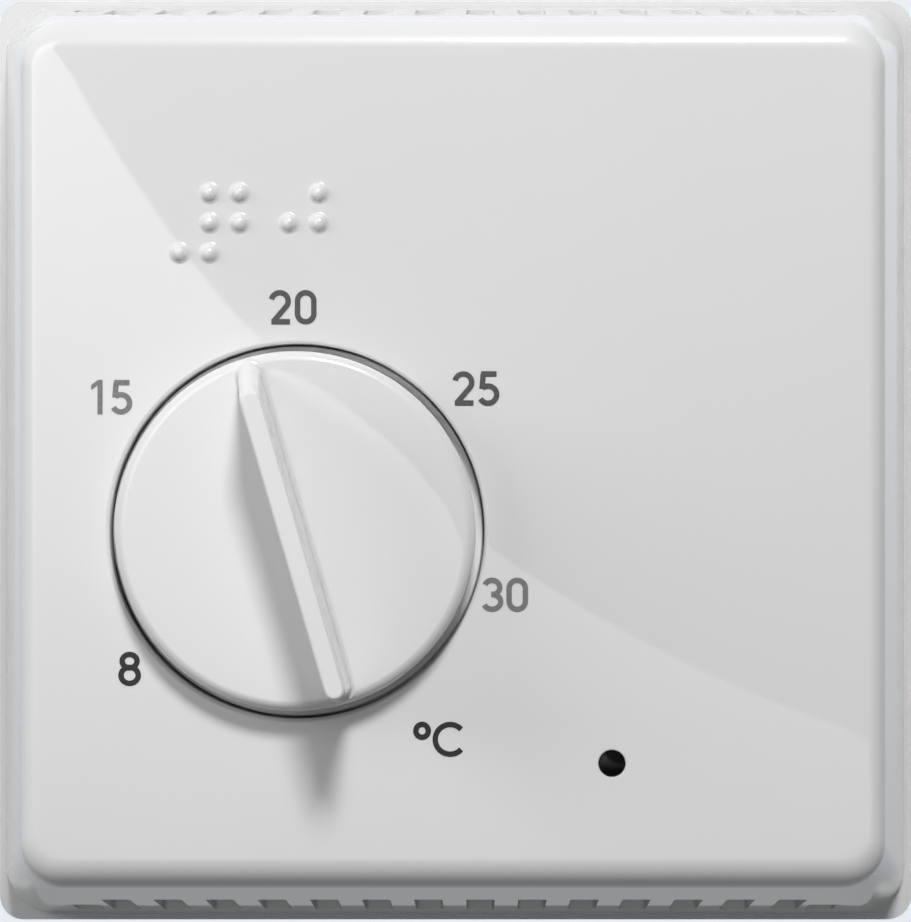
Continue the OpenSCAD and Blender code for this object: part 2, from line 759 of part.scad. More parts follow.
// shell of the snap switch, open on the lid side
module switch_case() {
    cavity_x = switch_x0 + switch_wall;
    color("sienna") stand() difference() {
        union() {
            difference() {
                block([switch_x0, switch_y, switch_z], [switch_t - lid_t, switch_l, switch_h]);
                block([cavity_x, switch_y + switch_wall, switch_z + switch_wall],
                    [switch_t, switch_l - 2 * switch_wall, switch_h - 2 * switch_wall]);
            }
            for (y = screw_rows) translate([(switch_x0 + dial_x + switch_t / 2 - lid_t) / 2, y,
                switch_screw_z]) rod_x(1.7, switch_t - lid_t);
            translate([cavity_x + (switch_t - lid_t - switch_wall - 0.2) / 2 - eps, blade_y, blade_mid_z])
                rod_x(blade_pin_r, switch_t - lid_t - switch_wall - 0.2);
        }
        translate([dial_x, tip_y, switch_z - 1]) cylinder(r = button_r + run, h = 3);
        for (y = screw_rows) translate([dial_x, y, switch_screw_z]) rod_x(switch_screw_r, 2 * switch_t);
        for (y = tab_rows) block([tab_x - 0.02, y - strip_t / 2, switch_z + switch_h - 2],
            [strip_w + 0.04, strip_t, 3]);
    }
}

module switch_lid() {
    color("saddlebrown") stand() difference() {
        block([dial_x + switch_t / 2 - lid_t, switch_y, switch_z], [lid_t, switch_l, switch_h]);
        for (y = screw_rows) translate([dial_x, y, switch_screw_z]) rod_x(switch_screw_r, 2 * switch_t);
    }
}

module switch_button() {
    color("black") stand() translate([dial_x, tip_y, 0]) {
        translate([0, 0, button_z]) cylinder(r = button_r, h = blade_z - touch - button_z);
        translate([0, 0, switch_z + switch_wall + 0.1]) cylinder(r = button_r + 0.5, h = 0.5);
    }
}

// moving contact arm, curled round its pivot
module snap_blade() {
    color("goldenrod") stand() translate([dial_x - 0.2, 0, 0]) difference() {
        union() {
            block([-blade_w / 2, blade_tip_y - 1, blade_z], [blade_w, blade_l + 1, blade_t]);
            translate([0, blade_y, blade_mid_z]) rod_x(0.75, blade_w);
            translate([0, blade_tip_y, blade_z - contact_h])
                cylinder(r = contact_r, h = 2 * contact_h + blade_t);
        }
        translate([0, blade_y, blade_mid_z]) rod_x(blade_pin_r + run, blade_w + 1);
    }
}

// fixed contacts, each with its strip and its tab through the top of the case
module switch_contacts() {
    low_z = blade_z - contact_h - 0.15;
    high_z = blade_z + blade_t + contact_h + contact_gap + 0.15;
    color("gold") stand() translate([tab_x, 0, 0]) {
        block([0, tab_rows[0] - strip_t / 2, low_z - 2 * strip_t], [strip_w, strip_t, tab_z - low_z + 2 * strip_t]);
        block([0, tab_rows[0] - strip_t / 2, low_z - 2 * strip_t],
            [strip_w, blade_tip_y + 1.2 - tab_rows[0], strip_t]);
        translate([strip_w / 2, blade_tip_y, low_z - strip_t - eps]) cylinder(r = contact_r, h = strip_t + eps);
        block([0, tab_rows[1] - strip_t / 2, high_z + strip_t], [strip_w, strip_t, tab_z - high_z - strip_t]);
        block([0, blade_tip_y - 1, high_z + strip_t],
            [strip_w, tab_rows[1] + strip_t / 2 - blade_tip_y + 1, strip_t]);
        translate([strip_w / 2, blade_tip_y, high_z]) cylinder(r = contact_r, h = strip_t + eps);
        block([0, tab_rows[2] - strip_t / 2, blade_z], [strip_w, strip_t, tab_z - blade_z]);
    }
}

module switch_screws() {
    color("silver") stand() for (y = screw_rows)
        translate([dial_x + switch_t / 2, y, switch_screw_z]) rotate([0, 90, 0])
            screw(switch_screw_r - 0.1, switch_t + bracket_t + 0.4, 1.9, 1.2);
}

module terminal_block() {
    color("dimgray") stand() difference() {
        block([block_x0, block_y0, base_t], [block_w, block_h, block_z - base_t]);
        for (i = [0 : 3]) translate([terminal_x(i), block_y0, 0]) {
            block([-cage_w / 2 - 0.1, 1.9, cage_z], [cage_w + 0.2, cage_h + 0.2, block_z]);
            block([-2.2, -1, cage_z + 0.4], [4.4, 4, 5]);
        }
        for (i = [1 : 3]) block([block_x0 + i * terminal_pitch - 0.3, block_y0 - 1, block_z - 3],
            [0.6, 8, 4]);
        for (p = block_screw_at) translate([p[0], p[1], 0]) {
            cylinder(r = 1.2, h = block_z + 1);
            translate([0, 0, base_t + 4]) cylinder(r = 2.1, h = block_z);
        }
    }
}

function terminal_x(i) = block_x0 + (i + 0.5) * terminal_pitch;

module block_screws() {
    color("silver") stand() for (p = block_screw_at)
        translate([p[0], p[1], base_t + 4]) screw(1, 5.6, 2, 1.4);
}

// brass box of each terminal, bored for the wire and the screw
module terminal_cages() {
    color("gold") stand() for (i = [0 : 3]) translate([terminal_x(i), block_y0 + 2, cage_z]) difference() {
        block([-cage_w / 2, 0, 0], [cage_w, cage_h, cage_t]);
        translate([0, -1, cage_t / 2 - 0.4]) rotate([-90, 0, 0]) cylinder(r = wire_r, h = cage_h + 2);
        translate([0, cage_h / 2 - 0.8, cage_t / 2]) cylinder(r = 1.4, h = cage_t);
    }
}

module terminal_screws() {
    color("silver") stand() for (i = [0 : 3])
        translate([terminal_x(i), block_y0 + 2 + cage_h / 2 - 0.8, cage_z + cage_t + 0.4])
            screw(1.4, 2.4, 2.1, 1.5);
}

// flat bars from the switch tabs and the lamp board to the terminals
module link_bars() {
    end_y = block_y0 + 2 + cage_h - 1.2;
    down_z = cage_z + cage_t;
    color("gold") stand() {
        for (i = [0 : 2]) {
            row = tab_rows[2 - i];
            x1 = terminal_x(i) + 0.6;
            x0 = tab_x + strip_w;
            block([x0, row - strip_t / 2, bar_z], [x1 - x0, strip_t, bar_w]);
            block([x1 - strip_t, min(row, end_y) - strip_t / 2, bar_z],
                [strip_t, abs(end_y - row) + strip_t, bar_w]);
            block([x1 - bar_w, end_y - strip_t / 2, down_z], [bar_w, strip_t, bar_z + bar_w - down_z]);
        }
        block([rail_x, rail_y, rail_z], [strip_t, end_y - rail_y, bar_w]);
        block([terminal_x(3) - bar_w / 2, end_y - strip_t, rail_z],
            [rail_x - terminal_x(3) + bar_w / 2 + strip_t, strip_t, bar_w]);
        block([terminal_x(3) - bar_w / 2, end_y - strip_t, down_z], [bar_w, strip_t, rail_z - down_z]);
        block([rail_x, rail_y, board_z + board_t], [strip_t, bar_w, rail_z - board_z]);
        block([rail_x - 4, rail_y, board_z + board_t], [4 + strip_t, bar_w, strip_t]);
    }
}

module circuit_board() {
    color("darkolivegreen") stand() difference() {
        block([board_x0, board_y0, board_z], [board_w, board_h, board_t]);
        for (p = board_posts) translate([p[0], p[1], board_z - 1]) cylinder(r = board_hole_r, h = 4);
        for (s = [-1, 1]) translate([window_x + s * 1.2, window_y, board_z - 1])
            cylinder(r = wire_lead_r, h = 4);
        for (r = resistor_at, s = [-1, 1]) translate([r[0] + s * 5, r[1], board_z - 1])
            cylinder(r = wire_lead_r, h = 4);
    }
}

module board_screws() {
    color("silver") stand() for (p = board_posts)
        translate([p[0], p[1], board_z + board_t]) screw(0.9, 4, 1.8, 1.2);
}

// glow lamp behind the window, standing on its two leads
module lamp() {
    bulb_z = board_z + board_t + 2.5;
    bulb_top = inner_z - 2.6;
    color("lightsalmon") stand() translate([window_x, window_y, 0]) {
        translate([0, 0, bulb_z]) cylinder(r = 2.3, h = bulb_top - bulb_z - 2.3);
        translate([0, 0, bulb_top - 2.3]) sphere(2.3);
        for (s = [-1, 1]) translate([s * 1.2, 0, board_z - 0.6])
            cylinder(r = wire_lead_r, h = bulb_z - board_z + 0.7);
    }
}

// resistor lying on the board, with bent leads
module resistor(body_r, length) {
    rise = board_z + board_t + body_r + 0.3;
    translate([0, 0, rise]) rod_x(body_r, length);
    translate([0, 0, rise]) rod_x(wire_lead_r, 10 + 2 * wire_lead_r);
    for (s = [-1, 1]) translate([s * 5, 0, board_z - 0.6]) cylinder(r = wire_lead_r, h = rise - board_z + 0.6);
}

module lamp_resistor() {
    color("tan") stand() translate([resistor_at[0][0], resistor_at[0][1], 0]) resistor(1.2, 6.4);
}

module heater_resistor() {
    color("steelblue") stand() translate([resistor_at[1][0], resistor_at[1][1], 0]) resistor(1.5, 7.2);
}

base_plate();
front_cover();
cover_clips();
indicator_lens();
dial();
spindle();
spindle_clip();
limit_pins();
bridge();
bridge_screws();
spindle_bush();
bush_nut();
capsule_front();
capsule_back();
capsule_stud();
key_plate();
filling_tube();
capsule_plunger();
switch_lever();
calibration_screw();
lever_pin();
lever_spring();
switch_bracket();
bracket_screws();
switch_case();
switch_lid();
switch_button();
snap_blade();
switch_contacts();
switch_screws();
terminal_block();
block_screws();
terminal_cages();
terminal_screws();
link_bars();
circuit_board();
board_screws();
lamp();
lamp_resistor();
heater_resistor();
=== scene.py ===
import bmesh
import bpy
import json
from math import acos, asin, atan2, cos, pi, radians, sin, sqrt
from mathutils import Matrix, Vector


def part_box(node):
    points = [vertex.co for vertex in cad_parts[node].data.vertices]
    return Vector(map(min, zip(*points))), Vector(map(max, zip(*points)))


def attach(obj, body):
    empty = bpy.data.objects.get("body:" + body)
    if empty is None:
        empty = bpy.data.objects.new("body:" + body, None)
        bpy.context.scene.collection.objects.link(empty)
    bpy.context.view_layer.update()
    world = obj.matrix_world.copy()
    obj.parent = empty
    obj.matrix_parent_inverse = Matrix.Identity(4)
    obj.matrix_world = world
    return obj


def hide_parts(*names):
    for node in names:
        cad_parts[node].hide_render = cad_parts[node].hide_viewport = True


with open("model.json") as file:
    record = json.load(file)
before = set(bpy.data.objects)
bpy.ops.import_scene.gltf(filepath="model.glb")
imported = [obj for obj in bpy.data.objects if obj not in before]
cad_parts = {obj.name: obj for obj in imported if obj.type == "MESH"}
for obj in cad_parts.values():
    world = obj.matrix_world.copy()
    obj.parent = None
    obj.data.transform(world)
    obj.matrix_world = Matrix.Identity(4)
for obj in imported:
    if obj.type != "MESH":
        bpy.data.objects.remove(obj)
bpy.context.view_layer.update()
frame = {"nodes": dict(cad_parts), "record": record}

nodes = frame["nodes"]
print("frame loaded:", len(nodes), "nodes")

# Sizes below are in millimetres: x to the right, z up, depth out of the wall.
mm = 0.001
quarterTurn = pi / 2
poleRadius = 1e-6  # a turned profile point nearer the axis than this is on the axis

# how close points may be before they become one, in metres
closeness = {"newPiece": 1e-7, "combined": 2e-6, "shortEdge": 1e-7, "scored": 1e-8}


def wallPoint(x, z, depth):
    return Vector((x, -depth, z)) * mm


def makePiece(name, points, faces):
    mesh = bpy.data.meshes.new(name)
    mesh.from_pydata(points, [], faces)
    work = bmesh.new()
    work.from_mesh(mesh)
    bmesh.ops.remove_doubles(work, verts=work.verts, dist=closeness["newPiece"])
    bmesh.ops.recalc_face_normals(work, faces=work.faces)
    work.to_mesh(mesh)
    work.free()
    piece = bpy.data.objects.new(name, mesh)
    bpy.context.scene.collection.objects.link(piece)
    return piece


# joins rings of equal length into one closed solid; it has end caps unless the rings run round
def loftRings(name, rings, runsRound=False):
    count = len(rings[0])
    points = [p for ring in rings for p in ring]
    faces = []
    pairs = len(rings) if runsRound else len(rings) - 1
    for k in range(pairs):
        here, there = k * count, ((k + 1) % len(rings)) * count
        for i in range(count):
            j = (i + 1) % count
            faces.append((here + i, here + j, there + j, there + i))
    if not runsRound:
        faces.append(tuple(range(count)))
        faces.append(tuple(range(len(points) - count, len(points))))
    return makePiece(name, points, faces)


# turns a profile of (radius, depth) points about an axis that comes out of the wall
def revolve(name, x, z, profile, steps, closed=True):
    points, starts = [], []
    for radius, depth in profile:
        starts.append(len(points))
        if radius < poleRadius:
            points.append(wallPoint(x, z, depth))
            continue
        for i in range(steps):
            a = 2 * pi * (i + 0.5) / steps  # half a step on, clear of the scored lines
            points.append(wallPoint(x + radius * cos(a), z + radius * sin(a), depth))
    faces = []
    last = len(profile) if closed else len(profile) - 1
    for k in range(last):
        n = (k + 1) % len(profile)
        a, b = starts[k], starts[n]
        poleA, poleB = profile[k][0] < poleRadius, profile[n][0] < poleRadius
        if poleA and poleB:
            continue
        for i in range(steps):
            j = (i + 1) % steps
            if poleA:
                faces.append((a, b + j, b + i))
            elif poleB:
                faces.append((a + i, a + j, b))
            else:
                faces.append((a + i, a + j, b + j, b + i))
    return makePiece(name, points, faces)


def roundedOutline(halfX, halfZ, radius, steps):
    outline = []
    for corner in range(4):
        signX = 1 if corner in (0, 3) else -1
        signZ = 1 if corner < 2 else -1
        for step in range(steps + 1):
            a = quarterTurn * (corner + step / steps)
            outline.append((signX * (halfX - radius) + radius * cos(a),
                            signZ * (halfZ - radius) + radius * sin(a)))
    return outline


def outlineRing(outline, depth, x=0.0, z=0.0):
    return [wallPoint(x + px, z + pz, depth) for px, pz in outline]


# a box given by its low corner and its size, both as x, z, depth
def makeBox(name, low, size):
    (x, z, d), (w, h, t) = low, size
    ring = [(x, z), (x + w, z), (x + w, z + h), (x, z + h)]
    return loftRings(name, [outlineRing(ring, d), outlineRing(ring, d + t)])


def joinPieces(pieces):
    work = bmesh.new()
    for piece in pieces:
        work.from_mesh(piece.data)
    first = pieces[0]
    work.to_mesh(first.data)
    work.free()
    for piece in pieces[1:]:
        bpy.data.objects.remove(piece)
    return first


# splits the faces along upright and level planes, so several faces share each hole cut later
def scoreLines(piece, columns, rows):
    work = bmesh.new()
    work.from_mesh(piece.data)
    for at, normal in [(x, (1, 0, 0)) for x in columns] + [(z, (0, 0, 1)) for z in rows]:
        everything = work.verts[:] + work.edges[:] + work.faces[:]
        bmesh.ops.bisect_plane(work, geom=everything, dist=closeness["scored"],
                               plane_co=Vector(normal) * at * mm, plane_no=normal)
    work.to_mesh(piece.data)
    work.free()


# adds or cuts away the tool, then merges the points that the cut left almost on each other
def combine(piece, tool, how):
    step = piece.modifiers.new(how, "BOOLEAN")
    step.operation = how
    step.solver = "EXACT"
    step.object = tool
    bpy.context.view_layer.update()
    shaped = piece.evaluated_get(bpy.context.evaluated_depsgraph_get())
    mesh = bpy.data.meshes.new_from_object(shaped)
    work = bmesh.new()
    work.from_mesh(mesh)
    bmesh.ops.remove_doubles(work, verts=work.verts, dist=closeness["combined"])
    bmesh.ops.dissolve_degenerate(work, edges=work.edges, dist=closeness["shortEdge"])
    work.to_mesh(mesh)
    work.free()
    piece.modifiers.clear()
    piece.data = mesh
    bpy.data.objects.remove(tool)


def smoothFaces(piece, sharpAngle):
    mesh = piece.data
    mesh.shade_smooth()
    mesh.set_sharp_from_angle(angle=radians(sharpAngle))
    step = piece.modifiers.new("evenNormals", "WEIGHTED_NORMAL")
    step.keep_sharp = True


def place(piece, body, slot, finish, *replaced):
    piece.data.materials.clear()
    piece.data.materials.append(finish)
    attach(piece, body)
    if replaced:
        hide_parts(*replaced)


def newFinish(name):
    finish = bpy.data.materials.new(name)
    finish.use_nodes = True
    tree = finish.node_tree
    return finish, tree, tree.nodes["Principled BSDF"]


def addNoise(tree, scale, detail, stretch=(1, 1, 1)):
    where = tree.nodes.new("ShaderNodeTexCoord")
    mapping = tree.nodes.new("ShaderNodeMapping")
    mapping.inputs["Scale"].default_value = stretch
    noise = tree.nodes.new("ShaderNodeTexNoise")
    noise.inputs["Scale"].default_value = scale
    noise.inputs["Detail"].default_value = detail
    tree.links.new(where.outputs["Object"], mapping.inputs["Vector"])
    tree.links.new(mapping.outputs["Vector"], noise.inputs["Vector"])
    return noise.outputs["Fac"]


noiseLow, noiseHigh = 0.3, 0.7  # nearly all of a noise lies between these


def spread(tree, value, low, high, start=noiseLow, end=noiseHigh):
    remap = tree.nodes.new("ShaderNodeMapRange")
    limits = {"From Min": start, "From Max": end, "To Min": low, "To Max": high}
    for label, number in limits.items():
        remap.inputs[label].default_value = number
    tree.links.new(value, remap.inputs["Value"])
    return remap.outputs["Result"]


def tintBetween(tree, value, first, second):
    ramp = tree.nodes.new("ShaderNodeValToRGB")
    ramp.color_ramp.elements[0].position = noiseLow
    ramp.color_ramp.elements[0].color = (*first, 1)
    ramp.color_ramp.elements[1].position = noiseHigh
    ramp.color_ramp.elements[1].color = (*second, 1)
    tree.links.new(value, ramp.inputs["Fac"])
    return ramp.outputs["Color"]


def addRelief(tree, shader, value, depthMm):
    bump = tree.nodes.new("ShaderNodeBump")
    bump.inputs["Strength"].default_value = 1.0
    bump.inputs["Distance"].default_value = depthMm * mm
    tree.links.new(value, bump.inputs["Height"])
    tree.links.new(bump.outputs["Normal"], shader.inputs["Normal"])


def shade(colour, amount):
    return tuple(min(1.0, c * amount) for c in colour)


plasticLook = {
    "cloudScale": 45, "cloudDetail": 2, "grainScale": 2600, "grainDetail": 4,
    "colourSpread": 0.012, "roughness": (0.30, 0.38), "relief": 0.0016, "specular": 0.25,
    "coat": 1.0, "coatRoughness": 0.02,
}


def mouldedPlastic(name, colour, **changes):
    look = {**plasticLook, **changes}
    finish, tree, shader = newFinish(name)
    clouds = addNoise(tree, look["cloudScale"], look["cloudDetail"])
    tint = tintBetween(tree, clouds, shade(colour, 1 - look["colourSpread"]), colour)
    tree.links.new(tint, shader.inputs["Base Color"])
    grain = addNoise(tree, look["grainScale"], look["grainDetail"])
    tree.links.new(spread(tree, grain, *look["roughness"]), shader.inputs["Roughness"])
    addRelief(tree, shader, grain, look["relief"])
    shader.inputs["Specular IOR Level"].default_value = look["specular"]
    shader.inputs["Coat Weight"].default_value = look["coat"]
    shader.inputs["Coat Roughness"].default_value = look["coatRoughness"]
    return finish


metalLook = {
    "stainScale": 120, "stainDetail": 5, "grainScale": 900, "grainDetail": 6,
    "stretch": (1, 1, 12), "roughness": (0.22, 0.42), "relief": 0.004, "colourSpread": 0.16,
}


def workedMetal(name, colour, **changes):
    look = {**metalLook, **changes}
    finish, tree, shader = newFinish(name)
    shader.inputs["Metallic"].default_value = 1.0
    stain = addNoise(tree, look["stainScale"], look["stainDetail"])
    tint = tintBetween(tree, stain, shade(colour, 1 - look["colourSpread"]), colour)
    tree.links.new(tint, shader.inputs["Base Color"])
    lines = addNoise(tree, look["grainScale"], look["grainDetail"], look["stretch"])
    tree.links.new(spread(tree, lines, *look["roughness"]), shader.inputs["Roughness"])
    addRelief(tree, shader, lines, look["relief"])
    return finish


resistorLook = {
    "bandWidth": 0.06, "bodyEnd": 0.99, "grainScale": 1500, "grainDetail": 4,
    "roughness": (0.25, 0.45), "relief": 0.006,
}


# lacquered body with colour bands across it, spaced along x; each band is (where it starts, colour)
def bandedResistor(name, node, body, bands):
    look = resistorLook
    finish, tree, shader = newFinish(name)
    low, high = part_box(node)
    where = tree.nodes.new("ShaderNodeTexCoord")
    split = tree.nodes.new("ShaderNodeSeparateXYZ")
    tree.links.new(where.outputs["Object"], split.inputs["Vector"])
    along = spread(tree, split.outputs["X"], 0, 1, low.x, high.x)
    ramp = tree.nodes.new("ShaderNodeValToRGB")
    ramp.color_ramp.interpolation = "CONSTANT"
    marks = ramp.color_ramp.elements
    marks[0].color = (*body, 1)
    marks[1].position, marks[1].color = look["bodyEnd"], (*body, 1)
    for at, colour in bands:
        start = marks.new(at)
        start.color = (*colour, 1)
        end = marks.new(at + look["bandWidth"])
        end.color = (*body, 1)
    tree.links.new(along, ramp.inputs["Fac"])
    tree.links.new(ramp.outputs["Color"], shader.inputs["Base Color"])
    speckle = addNoise(tree, look["grainScale"], look["grainDetail"])
    tree.links.new(spread(tree, speckle, *look["roughness"]), shader.inputs["Roughness"])
    addRelief(tree, shader, speckle, look["relief"])
    return finish


boardLook = {
    "lacquer": ((0.035, 0.16, 0.05), (0.045, 0.19, 0.06)), "track": (0.10, 0.30, 0.10),
    "trackScale": 90, "trackWidth": 0.09, "trackSoftness": 0.1, "trackRelief": 0.03,
    "weaveScale": 2200, "weaveDetail": 3, "weaveStretch": (1, 1, 3), "roughness": (0.28, 0.4),
}


# green lacquered laminate with a grid of tracks that shows lighter through the lacquer
def boardLaminate(name):
    look = boardLook
    finish, tree, shader = newFinish(name)
    where = tree.nodes.new("ShaderNodeTexCoord")
    turn = tree.nodes.new("ShaderNodeMapping")
    turn.inputs["Rotation"].default_value = (radians(90), 0, 0)
    tracks = tree.nodes.new("ShaderNodeTexBrick")
    tracks.inputs["Scale"].default_value = look["trackScale"]
    tracks.inputs["Mortar Size"].default_value = look["trackWidth"]
    tracks.inputs["Mortar Smooth"].default_value = look["trackSoftness"]
    tracks.inputs["Color1"].default_value = (*look["lacquer"][0], 1)
    tracks.inputs["Color2"].default_value = (*look["lacquer"][1], 1)
    tracks.inputs["Mortar"].default_value = (*look["track"], 1)
    tree.links.new(where.outputs["Object"], turn.inputs["Vector"])
    tree.links.new(turn.outputs["Vector"], tracks.inputs["Vector"])
    tree.links.new(tracks.outputs["Color"], shader.inputs["Base Color"])
    weave = addNoise(tree, look["weaveScale"], look["weaveDetail"], look["weaveStretch"])
    tree.links.new(spread(tree, weave, *look["roughness"]), shader.inputs["Roughness"])
    addRelief(tree, shader, tracks.outputs["Fac"], look["trackRelief"])
    return finish


glassLook = {
    "rippleScale": 400, "rippleDetail": 2, "darkest": 0.85, "roughness": (0.03, 0.1),
    "transmission": 0.85, "refraction": 1.5, "relief": 0.02,
}


def blownGlass(name, colour):
    look = glassLook
    finish, tree, shader = newFinish(name)
    ripple = addNoise(tree, look["rippleScale"], look["rippleDetail"])
    tint = tintBetween(tree, ripple, shade(colour, look["darkest"]), colour)
    tree.links.new(tint, shader.inputs["Base Color"])
    tree.links.new(spread(tree, ripple, *look["roughness"]), shader.inputs["Roughness"])
    shader.inputs["Transmission Weight"].default_value = look["transmission"]
    shader.inputs["IOR"].default_value = look["refraction"]
    addRelief(tree, shader, ripple, look["relief"])
    return finish


inkLook = {
    "grainScale": 3500, "grainDetail": 3, "lightest": 1.35, "roughness": (0.4, 0.55),
    "relief": 0.003,
}


def printedInk(name, tone):
    look = inkLook
    finish, tree, shader = newFinish(name)
    body = addNoise(tree, look["grainScale"], look["grainDetail"])
    ink = (tone, tone, tone)
    tint = tintBetween(tree, body, ink, shade(ink, look["lightest"]))
    tree.links.new(tint, shader.inputs["Base Color"])
    tree.links.new(spread(tree, body, *look["roughness"]), shader.inputs["Roughness"])
    addRelief(tree, shader, body, look["relief"])
    return finish


white = (0.80, 0.80, 0.795)
tanBands = ((0.22, (0.25, 0.02, 0.02)), (0.38, (0.02, 0.02, 0.02)),
            (0.52, (0.4, 0.2, 0.01)), (0.7, (0.5, 0.36, 0.08)))
blueBands = ((0.22, (0.02, 0.02, 0.02)), (0.38, (0.2, 0.02, 0.02)),
             (0.52, (0.3, 0.15, 0.01)), (0.7, (0.25, 0.08, 0.01)))
finishes = {
    "cover_plastic": mouldedPlastic("coverPlastic", white),
    "dial_plastic": mouldedPlastic("dialPlastic", shade(white, 1.02)),
    "base_plastic": mouldedPlastic("basePlastic", shade(white, 0.95), roughness=(0.38, 0.5),
                                   coat=0.3, coatRoughness=0.2, relief=0.004, colourSpread=0.03),
    "lens_black": mouldedPlastic("lensBlack", (0.004, 0.004, 0.004), roughness=(0.15, 0.2),
                                 coat=0.1, specular=0.15),
    "pin_red": mouldedPlastic("pinRed", (0.55, 0.04, 0.03), coat=0.2, colourSpread=0.15),
    "switch_brown": mouldedPlastic("switchBrown", (0.16, 0.065, 0.03), coat=0.15,
                                   roughness=(0.35, 0.55), relief=0.008, colourSpread=0.35),
    "button_black": mouldedPlastic("buttonBlack", (0.02, 0.02, 0.02), coat=0.2, colourSpread=0.3),
    "block_grey": mouldedPlastic("blockGrey", (0.27, 0.28, 0.29), coat=0.15,
                                 roughness=(0.4, 0.55), relief=0.008, colourSpread=0.12),
    "zinc_steel": workedMetal("zincSteel", (0.66, 0.68, 0.71)),
    "screw_steel": workedMetal("screwSteel", (0.60, 0.61, 0.62), roughness=(0.25, 0.5),
                               grainScale=1800),
    "spring_steel": workedMetal("springSteel", (0.32, 0.33, 0.35), roughness=(0.3, 0.5)),
    "capsule_steel": workedMetal("capsuleSteel", (0.72, 0.72, 0.70), roughness=(0.12, 0.28),
                                 relief=0.002),
    "brass": workedMetal("turnedBrass", (0.78, 0.56, 0.24), stretch=(1, 8, 1)),
    "bronze": workedMetal("rolledBronze", (0.70, 0.43, 0.22), stretch=(1, 6, 1)),
    "copper": workedMetal("drawnCopper", (0.75, 0.38, 0.24)),
    "board_green": boardLaminate("boardLaminate"),
    "lamp_glass": blownGlass("lampGlass", (0.95, 0.72, 0.55)),
    "resistor_tan": bandedResistor("resistorTan", "lamp_resistor", (0.52, 0.34, 0.17), tanBands),
    "resistor_blue": bandedResistor("resistorBlue", "heater_resistor", (0.10, 0.22, 0.34),
                                    blueBands),
}
for part in frame["record"]["subparts"]:
    cadMesh = nodes[part["node"]].data
    cadMesh.materials.clear()
    cadMesh.materials.append(finishes[part["material_slot"]])
print("finishes made:", len(finishes))

cover = {
    "backHalf": (41.2, 41.5), "faceHalf": (34.7, 33.8), "backDepth": 2.55, "faceDepth": 28.0,
    "edgeRadius": (1.6, 2.8), "wall": 2.0, "footChamfer": 0.3, "lip": 0.35,
    "backCorner": 4.2, "faceCorner": 2.2, "edgeCornerExtra": 1.6, "plateCorner": 1.0,
    "innerChamfer": 0.6, "innerCorners": (1.8, 2.2, 3.2), "sharpAngle": 28,
    "cornerSteps": 14, "edgeSteps": 18, "wallSteps": 4, "lipSteps": 6, "toolClearance": 2,
}
dialAxis = (-13.0, -6.5)
dialHole = {
    "radius": 15.65, "wellRadius": 17.05, "wellDepth": 22.6, "wellFloor": 1.2, "wellInner": 9.5,
    "wellBelowFace": 1, "steps": 128,
}


# half width of the cover at a depth: a leaning wall that runs smoothly into a round front edge
def halfAt(depth, backHalf, faceHalf, radius):
    run, rise = backHalf - faceHalf, cover["faceDepth"] - radius - cover["backDepth"]
    lean = acos(radius / sqrt(run ** 2 + rise ** 2)) - atan2(rise, run)
    centre = cover["faceDepth"] - radius
    if depth >= centre + radius * sin(lean):
        return faceHalf + sqrt(max(0.0, radius ** 2 - (depth - centre) ** 2))
    touchHalf, touchDepth = faceHalf + radius * cos(lean), centre + radius * sin(lean)
    t = (depth - cover["backDepth"]) / (touchDepth - cover["backDepth"])
    return backHalf + (touchHalf - backHalf) * t


# the outside from the back edge to the face, then the inside back again
def coverRings():
    (bx, bz), (fx, fz), (rx, rz) = cover["backHalf"], cover["faceHalf"], cover["edgeRadius"]
    wall, corner, backCorner = cover["wall"], cover["faceCorner"], cover["backCorner"]
    back, face, chamfer = cover["backDepth"], cover["faceDepth"], cover["footChamfer"]
    extra, wallSteps, edgeSteps = cover["edgeCornerExtra"], cover["wallSteps"], cover["edgeSteps"]
    rings = []

    def addRing(halfX, halfZ, radius, depth):
        outline = roundedOutline(halfX, halfZ, radius, cover["cornerSteps"])
        rings.append(outlineRing(outline, depth))

    def addOuterRing(radius, depth):
        addRing(halfAt(depth, bx, fx, rx), halfAt(depth, bz, fz, rz), radius, depth)

    addRing(bx - chamfer, bz - chamfer, backCorner - chamfer, back)
    addRing(bx, bz, backCorner, back + chamfer)
    top = face - rz
    for i in range(1, wallSteps):
        addOuterRing(backCorner + (corner + extra - backCorner) * i / wallSteps,
                     back + (top - back) * i / wallSteps)
    for i in range(edgeSteps + 1):
        t = i / edgeSteps
        addOuterRing(corner + extra * cos(quarterTurn * t), top + rz * sin(quarterTurn * t))
    inner, bevel = face - wall, cover["innerChamfer"]
    bevelCorner, wallCorner, footCorner = cover["innerCorners"]
    addRing(fx - wall, fz - wall, cover["plateCorner"], face)
    addRing(fx - wall, fz - wall, cover["plateCorner"], inner)
    addRing(fx + rx - wall - bevel, fz + rx - wall - bevel, bevelCorner, inner)
    addRing(fx + rx - wall, fz + rx - wall, wallCorner, inner - bevel)
    addRing(bx - wall, bz - wall, footCorner, back)
    return rings


# fills the middle of the rings
def makeFacePlate():
    outline = roundedOutline(cover["faceHalf"][0] - cover["wall"],
                             cover["faceHalf"][1] - cover["wall"],
                             cover["plateCorner"], cover["cornerSteps"])
    depths = (cover["faceDepth"] - cover["wall"], cover["faceDepth"])
    return loftRings("facePlate", [outlineRing(outline, depth) for depth in depths])


vents = {
    "count": 14, "pitch": 4.58, "width": 2.5, "start": 6.0, "length": 9.0,
    "endX": 33.0, "endLength": 4.0, "round": 0.35, "roundSteps": 5, "reach": 45,
}


